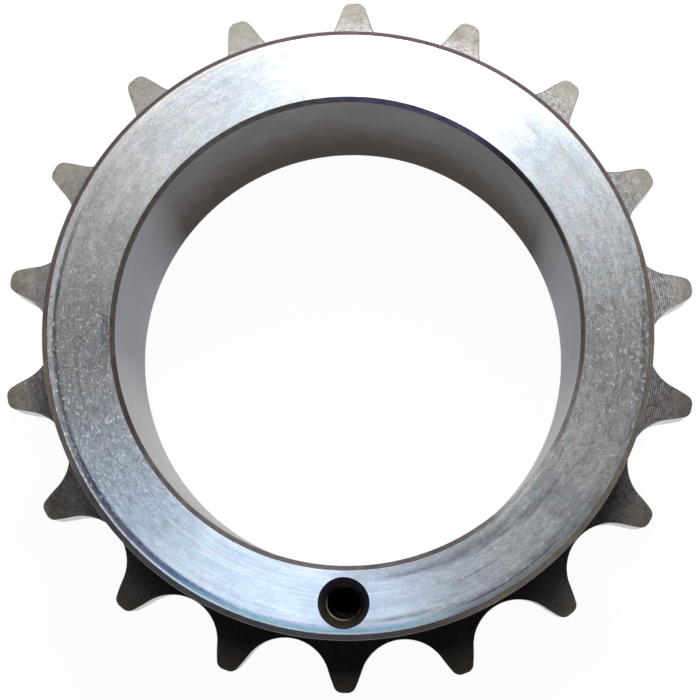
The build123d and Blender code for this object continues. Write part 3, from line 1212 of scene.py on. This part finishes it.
def bore_edge_finish(s, f):
    """The bore's chamfers: olive brown oxide, violet and nearly black over two arcs that overlap, a painted
    highlight that makes them pale at the lower right, greyer below and at the upper left, darker on the
    left."""
    tints = [
        (70, 36, f.violet),
        (39, 19, (0.045, 0.037, 0.062)),
        (250, 58, (0.21, 0.19, 0.20)),
        # Painted highlight: pale over an arc at the lower right, with a brighter glint in a narrow arc
        # inside it.
        (326, 28, (0.36, 0.33, 0.33)),
        (321, 13, (0.68, 0.64, 0.65)),
        (199, 14, (0.115, 0.092, 0.088)),
        (121, 13, (0.19, 0.185, 0.185)),
    ]
    corner = s.bore + s.bore_chamfer
    return edge_finish("oxidised_bore_edge_steel", f.bore_edge, f.bore_edge_rubbed, corner, (10, 40), tints)


def finished_wall(steel, lines, grain, spots):
    """A turned wall, with feed lines in relief; its spots are dull and not metal."""
    metal = steel.line(spots, -0.8, 1.0)
    rough = steel.line(spots, 0.35, steel.line(grain["Grain"], 0.12, 0.34))
    relief = steel.line(lines["Fine"], 0.6, steel.times(grain["Grain"], 0.4))
    return steel.finished(0.012 * MM, relief, Metallic=metal, Roughness=rough)


def wall_finish(f):
    """Turned outside of the hub: feed lines one above another along the axis, a few spots."""
    steel = Steel("turned_wall_steel")
    height = height_of(steel.tree, steel.place)
    lines = steel.lines(height, 0.4 * MM)
    grain = steel.grain(height, 0.5 * MM)
    spots = use(steel.tree, small_spots(), Position=steel.place, Density=75.0, Share=0.05)["Mask"]
    steel.base = mix(steel.tree, steel.times(grain["Patches"], 0.22), f.wall, f.tan)
    steel.shade(grain["Clouds"], 0.22)
    steel.shade(lines["Streaks"], 0.5 * f.streaks)
    steel.tint(spots, f.rust)
    return finished_wall(steel, lines, grain, spots)


def bore_finish(s, f):
    """Bored wall: smooth, neutral grey, with painted shade that makes it browner and darker towards the
    rear, painted light that makes it lavender on two sides and a painted reflection that makes it nearly
    white on two more, with faint feed lines, two rust spots and a few dark ones."""
    steel = Steel("bored_wall_steel")
    height = height_of(steel.tree, steel.place)
    lines = steel.lines(height, 0.3 * MM)
    grain = steel.grain(height, 0.5 * MM)
    clouds = grain["Clouds"]
    bore = s.bore / MM
    rust = steel.spots((38.9, bore, 46.5, 0.55), (119.6, bore, 13.7, 0.4))
    dark = steel.spots((11.1, bore, 41.6, 0.4), (185.3, bore, 45, 0.3), (262, bore, 30, 0.4))
    steel.base = mix(steel.tree, grain["Patches"], f.bore, f.bore_warm)
    # Painted shade: the wall is darker and browner towards the rear.
    rear = steel.line(work(steel.tree, "SUBTRACT", clouds, 0.5), 20 * MM, height)
    steel.tint(steel.step(rear, s.total * 0.9, s.total * 0.1), f.bore_rear_shade)
    # Painted light: lighter lavender on the bore's two sides.
    steel.tint(steel.arcs((183, bore, 8, 40), (356, bore, 8, 36)), f.lavender)
    # Painted reflection of the white floor: nearly white on two lower sides.
    steel.tint(steel.arcs((228, bore, 8, 46), (314, bore, 8, 42)), (0.95, 0.95, 0.96))
    steel.shade(clouds, 0.22)
    steel.shade(lines["Streaks"], 0.08 * f.streaks)
    steel.tint(rust, f.rust)
    steel.tint(dark, (0.03, 0.03, 0.05))
    give(steel.tree, steel.shader, {"Specular Tint": (0.257, 0.25, 0.246, 1)})
    return finished_wall(steel, lines, grain, steel.most(rust, dark))


def hole_finish(s):
    """Inside of the tapped hole, seen from its own axis: dark, with painted light that makes the lower side
    olive and lighter, the bright cut crest of the thread shown there only as painted highlight, a mouth
    edge made nearly black as painted shade, and chips and dust with turned rings on the shoulder below,
    pale and bright on the lower side as painted light."""
    steel = Steel("tapped_hole_steel")
    tree = steel.tree
    grain = steel.grain(steel.radius, 0.4 * MM)
    own = vector_work(tree, "ADD", steel.place, (0, s.hole_centre, 0))
    own = vector_work(tree, "MULTIPLY", own, (1, 1, 0))
    off = vector_work(tree, "LENGTH", own, out=1)
    facing = vector_work(tree, "NORMALIZE", own)
    facing = vector_work(tree, "DOT_PRODUCT", facing, (-0.32, -0.947, 0), out=1)
    # Painted light: the lower side, which the lamps above would light, is olive and lighter; the upper side
    # is dark violet.
    low = steel.step(facing, -0.25, 0.55)
    steel.base = mix(tree, low, (0.030, 0.025, 0.048), (0.062, 0.048, 0.036))
    height = height_of(tree, steel.place)
    inside = steel.step(height, s.total - 1.6 * MM, s.total - 2.0 * MM)
    steel.tint(inside, mix(tree, low, (0.05, 0.042, 0.035), (0.36, 0.31, 0.23)))
    steel.shade(grain["Clouds"], 1.2)
    # Painted shade: the mouth's edge is made nearly black.
    mouth = steel.step(off, s.mouth - 0.16 * MM, s.mouth - 0.04 * MM)
    steel.tint(mouth, (0.018, 0.014, 0.028), 0.9)
    # Painted highlight: the crest shows bright on the lower side only.
    crest = near_to(tree, off, s.crest + 0.12 * MM, 0.14 * MM, 0.05 * MM)
    crest = steel.times(crest, steel.times(low, steel.step(grain["Clouds"], 0.3, 0.55)))
    steel.tint(crest, (0.27, 0.235, 0.17), 0.8)

    # The shoulder: dust, with two rings that the drill left; both are pale and bright on the lower side
    # only, as painted light.
    floor = s.total - s.tapped
    deep = steel.step(height, floor + 0.3 * MM, floor - 0.1 * MM)
    dust_and_light = mix(tree, low, (0.10, 0.085, 0.06), (0.62, 0.55, 0.38))
    for middle in (2.45 * MM, 2.75 * MM):
        ring = near_to(tree, off, middle, 0.12 * MM, 0.04 * MM)
        dust_and_light = mix(tree, steel.times(ring, low), dust_and_light, (0.95, 0.92, 0.80))
    steel.tint(deep, dust_and_light)
    dusty = steel.most(deep, steel.times(crest, 0.8))
    rough = steel.line(steel.most(dusty, mouth), 0.3, steel.line(grain["Grain"], 0.15, 0.28))
    metal = steel.line(dusty, -0.85, 0.9)
    return steel.finished(0.015 * MM, grain["Grain"], Metallic=metal, Roughness=rough)


# Marks on the tooth sides, in rows like those of FACE_MARKS.
SIDE_MARKS = {
    "pale_left": (0.16, (0.50, 0.48, 0.43), (118, 68, 14, 46)),
    "dark_top": (0.3, (0.17, 0.16, 0.135), (91, 72, 7, 44)),
    "bright_crests": (0.7, (0.80, 0.80, 0.92), (350, 65.6, 3.2, 13), (208, 66, 4, 12)),
    "flecks": (1, (0.62, 0.62, 0.66)),
    "scratches": (0.2, (0.6, 0.6, 0.59)),
    "stain": (0.6, (0.17, 0.145, 0.115)),
    # Painted shade in dark brown over the lower teeth, where the hub's shadow falls, and more weakly over
    # one tooth on the left.
    "film": (0.6, None, (264, 68, 14, 60), (337, 68, 14, 30)),
    "thin_painted_shade": (0.25, None, (193, 69, 14, 17)),
}


def side_finish(t, f):
    """Tooth side: dull steel with a bright crest on every tool mark over one half of the plate, shown there
    as painted highlight, warm and duller towards the tip, and painted shade in dark brown over some of the
    lower teeth. Crests are where the distance from the relief's start is a whole number of pitches."""
    steel, marks = Steel("tooth_side_steel"), SIDE_MARKS
    tree, radius = steel.tree, steel.radius
    grain = steel.grain(radius, 0.3 * MM)
    clouds = grain["Clouds"]
    start = t.tip - t.relief
    bent = steel.line(work(tree, "SUBTRACT", clouds, 0.5), 4 * MM, radius)
    tinted = steel.step(bent, start - 1.5 * MM, start + 2 * MM)

    # Crests, uneven along their arc and fading towards the tip. They are shown on some sides only as
    # painted highlight, where the tool marks would catch the lamps.
    phase = work(tree, "DIVIDE", work(tree, "SUBTRACT", radius, start), t.groove_pitch)
    crest = work(tree, "SUBTRACT", work(tree, "FRACT", phase), 0.5)
    crest = steel.step(work(tree, "ABSOLUTE", crest), 0.12, 0.42)
    uneven = noise(tree, steel.around(90.0, t.groove_pitch), scale=0.8)
    uneven = steel.step(uneven, 0.32, 0.62)
    fading = steel.step(radius, t.tip - 0.8 * MM, start - 1.5 * MM)
    facing = vector_work(tree, "DOT_PRODUCT", steel.away, (0.819, 0.574, 0), out=1)
    shown = steel.times(steel.step(facing, 0.1, 0.75), steel.line(fading, 0.8, 0.2))
    right = steel.arcs((343, 66, 12, 35))
    lower = steel.times(steel.arcs((214, 68, 12, 34), (311, 70, 3.5, 9)), 0.55)
    shown = steel.most(shown, steel.most(right, lower))
    crest = steel.line(steel.times(crest, uneven), steel.line(right, 0.35, 0.75), steel.times(fading, 0.02))
    values = {0: shown, 2: steel.line(fading, 0.12, 0.06), 3: crest}
    crest = put(tree, "ShaderNodeMix", values, data_type="FLOAT").outputs[0]

    steel.base = mix(tree, tinted, f.tooth, f.tan)
    steel.tint(crest, f.crest)
    steel.mark(marks["pale_left"])
    steel.mark(marks["dark_top"], tinted)
    steel.shade(grain["Grain"], 1.2)
    steel.shade(grain["Grit"], 1.8, steel.arcs((270, 68, 14, 105)))
    steel.shade(clouds, 0.6)
    # Painted highlight: the crests glint brighter on two teeth.
    steel.mark(marks["bright_crests"], crest)
    handled = steel.arcs((356, 66, 7, 40), (196, 66, 7, 26))
    steel.mark(marks["flecks"], steel.times(grain["Flecks"], steel.line(handled, 0.4, 0.12)))
    steel.mark(marks["scratches"], steel.scratches())
    stain = steel.step(noise(tree, steel.place, scale=260.0, detail=3.0), 0.56, 0.68)
    steel.mark(marks["stain"], steel.times(tinted, stain))
    # Painted shade in dark brown over the lower teeth, where the hub's shadow falls.
    for name in ("film", "thin_painted_shade"):
        steel.mark(marks[name], colour=f.lower_teeth_shade)
    rough = steel.line(tinted, 0.18, steel.line(grain["Grain"], 0.15, 0.40))
    gloss = {"Metallic": 1.0, "Roughness": rough, "Anisotropic": 0.35, "Tangent": steel.away}
    return steel.finished(0.02 * MM, grain["Grain"], **gloss)


def flank_finish(f):
    """Tooth flanks and tips: milled across the width, with a light heat tint."""
    steel = Steel("tooth_flank_steel")
    grain = steel.grain(steel.radius, 0.5 * MM)
    lines = steel.lines(steel.radius, 0.4 * MM)
    steel.base = mix(steel.tree, steel.times(grain["Patches"], 0.14), f.flank, f.tan)
    steel.shade(lines["Fine"], 0.45)
    steel.shade(grain["Clouds"], 0.4)
    rough = steel.line(grain["Grain"], 0.15, 0.38)
    relief = steel.line(lines["Fine"], 0.6, steel.times(grain["Grain"], 0.4))
    return steel.finished(0.02 * MM, relief, Metallic=1.0, Roughness=rough)


# ---- Operators ----


class SPROCKET_OT_hub_ring(bpy.types.Operator):
    """Builds the hub ring with its bore, faces, chamfers and tapped hole"""

    bl_idname = "sprocket.hub_ring"
    bl_label = "Hub ring"

    def execute(self, context):
        s, f = context.scene.hub_sizes, context.scene.steel_finish
        materials = {
            FACE: face_finish(f),
            HUB_EDGE: hub_edge_finish(s, f),
            WALL: wall_finish(f),
            BORE: bore_finish(s, f),
            HOLE: hole_finish(s),
            BORE_EDGE: bore_edge_finish(s, f),
        }
        piece_from("hub_ring", hub_surface(s), materials)
        return {"FINISHED"}


class SPROCKET_OT_tooth_plate(bpy.types.Operator):
    """Builds the plate of teeth round the hub ring"""

    bl_idname = "sprocket.tooth_plate"
    bl_label = "Tooth plate"

    def execute(self, context):
        t, f = context.scene.tooth_sizes, context.scene.steel_finish
        materials = {SIDE: side_finish(t, f), FLANK: flank_finish(f)}
        piece_from("tooth_plate", plate_surface(t, context.scene.hub_sizes), materials)
        return {"FINISHED"}


class SPROCKET_OT_stage(bpy.types.Operator):
    """Sets the camera, the lamps, the floor and the surroundings"""

    bl_idname = "sprocket.stage"
    bl_label = "Stage"

    def execute(self, context):
        s = context.scene.stage_sizes
        self.make_camera(context, s)
        for name in ("key", "window", "fill"):
            self.make_lamp(context, name, s)
        self.make_floor(context, s)
        self.make_surroundings(context, s)
        context.scene.view_settings.view_transform = "Standard"
        return {"FINISHED"}

    def make_camera(self, context, s):
        """A camera whose axes are the rows of the tilts, turned back by the roll."""
        tilt, swing, roll = s.camera_turn
        axes = Matrix.Rotation(swing, 3, "Y") @ Matrix.Rotation(tilt, 3, "X")
        axes = axes @ Matrix.Rotation(-roll, 3, "Z")
        data = bpy.data.cameras.new("camera")
        data.lens = s.lens
        data.sensor_width = 36  # millimetres, as is the focal length
        data.clip_start, data.clip_end = 0.01, 20  # metres
        camera = bpy.data.objects.new("camera", data)
        camera.matrix_world = Matrix.Translation(Vector(s.camera_place)) @ axes.transposed().to_4x4()
        context.scene.collection.objects.link(camera)
        context.scene.camera = camera

    def make_lamp(self, context, name, s):
        """A soft square lamp that faces the hub face."""
        azimuth, elevation = getattr(s, name + "_place")
        level = np.cos(elevation)
        away = Vector((level * np.cos(azimuth), level * np.sin(azimuth), np.sin(elevation)))
        data = bpy.data.lights.new(name + "_lamp", "AREA")
        data.shape = "SQUARE"
        data.size = getattr(s, name + "_size")
        data.energy = getattr(s, name + "_power")
        lamp = bpy.data.objects.new(name + "_lamp", data)
        lamp.location = Vector((0, 0, HIGH.z)) + away * s.lamp_distance
        lamp.rotation_euler = away.to_track_quat("Z", "Y").to_euler()
        context.scene.collection.objects.link(lamp)

    def make_floor(self, context, s):
        """A wide pale floor under the part. A camera or a mirror sees plain white with a weak
        shadow in it; other light meets an ordinary pale surface, and from below it is clear."""
        half, level = s.floor_width / 2, -s.floor_drop
        corners = [(-half, -half, level), (half, -half, level), (half, half, level), (-half, half, level)]
        mesh = bpy.data.meshes.new("floor")
        mesh.from_pydata(corners, [], [(0, 1, 2, 3)])
        floor = bpy.data.objects.new("floor", mesh)
        context.scene.collection.objects.link(floor)
        made = bpy.data.materials.new("studio_floor")
        made.use_nodes = True
        tree = made.node_tree
        tree.nodes.clear()
        path = put(tree, "ShaderNodeLightPath").outputs
        seen = most(tree, path["Is Camera Ray"], path["Is Glossy Ray"], path["Is Transmission Ray"])
        own = s.floor_glow - s.mirrored_glow
        own = work(tree, "MULTIPLY_ADD", path["Is Camera Ray"], own, s.mirrored_glow)
        rest = work(tree, "MULTIPLY", work(tree, "SUBTRACT", 1.0, own), 1.5)
        weak = put(tree, "ShaderNodeBsdfDiffuse", {"Color": grey(tree, rest)}).outputs[0]
        glow = put(tree, "ShaderNodeEmission", {"Color": (1, 1, 1, 1), "Strength": own}).outputs[0]
        shown = put(tree, "ShaderNodeAddShader", {0: weak, 1: glow}).outputs[0]
        plain = put(tree, "ShaderNodeBsdfDiffuse", {"Color": (0.8, 0.8, 0.8, 1)}).outputs[0]
        top = put(tree, "ShaderNodeMixShader", {0: seen, 1: plain, 2: shown}).outputs[0]
        clear = put(tree, "ShaderNodeBsdfTransparent").outputs[0]
        under = put(tree, "ShaderNodeNewGeometry").outputs["Backfacing"]
        both = put(tree, "ShaderNodeMixShader", {0: under, 1: top, 2: clear}).outputs[0]
        put(tree, "ShaderNodeOutputMaterial", {0: both})
        mesh.materials.append(made)

    def make_surroundings(self, context, s):
        """Surroundings that are white at the horizon and dim above."""
        world = bpy.data.worlds.new("studio_surroundings")
        world.use_nodes = True
        tree = world.node_tree
        tree.nodes.clear()
        towards = put(tree, "ShaderNodeTexCoord").outputs["Generated"]
        strength = ramp(tree, height_of(tree, towards), 0.06, 0.32, 1.0, s.overhead)
        strength = most(tree, strength, put(tree, "ShaderNodeLightPath").outputs["Is Camera Ray"])
        values = {"Color": (1, 1, 1, 1), "Strength": strength}
        light = put(tree, "ShaderNodeBackground", values).outputs[0]
        put(tree, "ShaderNodeOutputWorld", {0: light})
        context.scene.world = world


class SPROCKET_PT_panel(bpy.types.Panel):
    """Lists the steps and the sizes in the sidebar"""

    bl_idname = "SPROCKET_PT_panel"
    bl_label = "Chain sprocket"
    bl_space_type = "VIEW_3D"
    bl_region_type = "UI"
    bl_category = "Sprocket"

    def draw(self, context):
        for step in STEPS:
            self.layout.operator(step.bl_idname)
        for group in GROUPS:
            held = getattr(context.scene, group)
            box = self.layout.box()
            for name in held.__annotations__:
                box.prop(held, name)


STEPS = (SPROCKET_OT_hub_ring, SPROCKET_OT_tooth_plate, SPROCKET_OT_stage)
GROUPS = {
    "hub_sizes": HubSizes,
    "tooth_sizes": ToothSizes,
    "steel_finish": SteelFinish,
    "stage_sizes": StageSizes,
}


def register():
    """Registers the groups of sizes, which every scene then holds, the steps and the panel."""
    for group, kind in GROUPS.items():
        bpy.utils.register_class(kind)
        setattr(bpy.types.Scene, group, bpy.props.PointerProperty(type=kind))
    for kind in (*STEPS, SPROCKET_PT_panel):
        bpy.utils.register_class(kind)


def unregister():
    """Takes away what register has added."""
    for kind in (SPROCKET_PT_panel, *reversed(STEPS)):
        bpy.utils.unregister_class(kind)
    for group, kind in reversed(GROUPS.items()):
        delattr(bpy.types.Scene, group)
        bpy.utils.unregister_class(kind)


def main():
    """Makes every piece and the stage."""
    register()
    bpy.ops.sprocket.hub_ring()
    bpy.ops.sprocket.tooth_plate()
    bpy.ops.sprocket.stage()


if __name__ == "__main__":
    main()
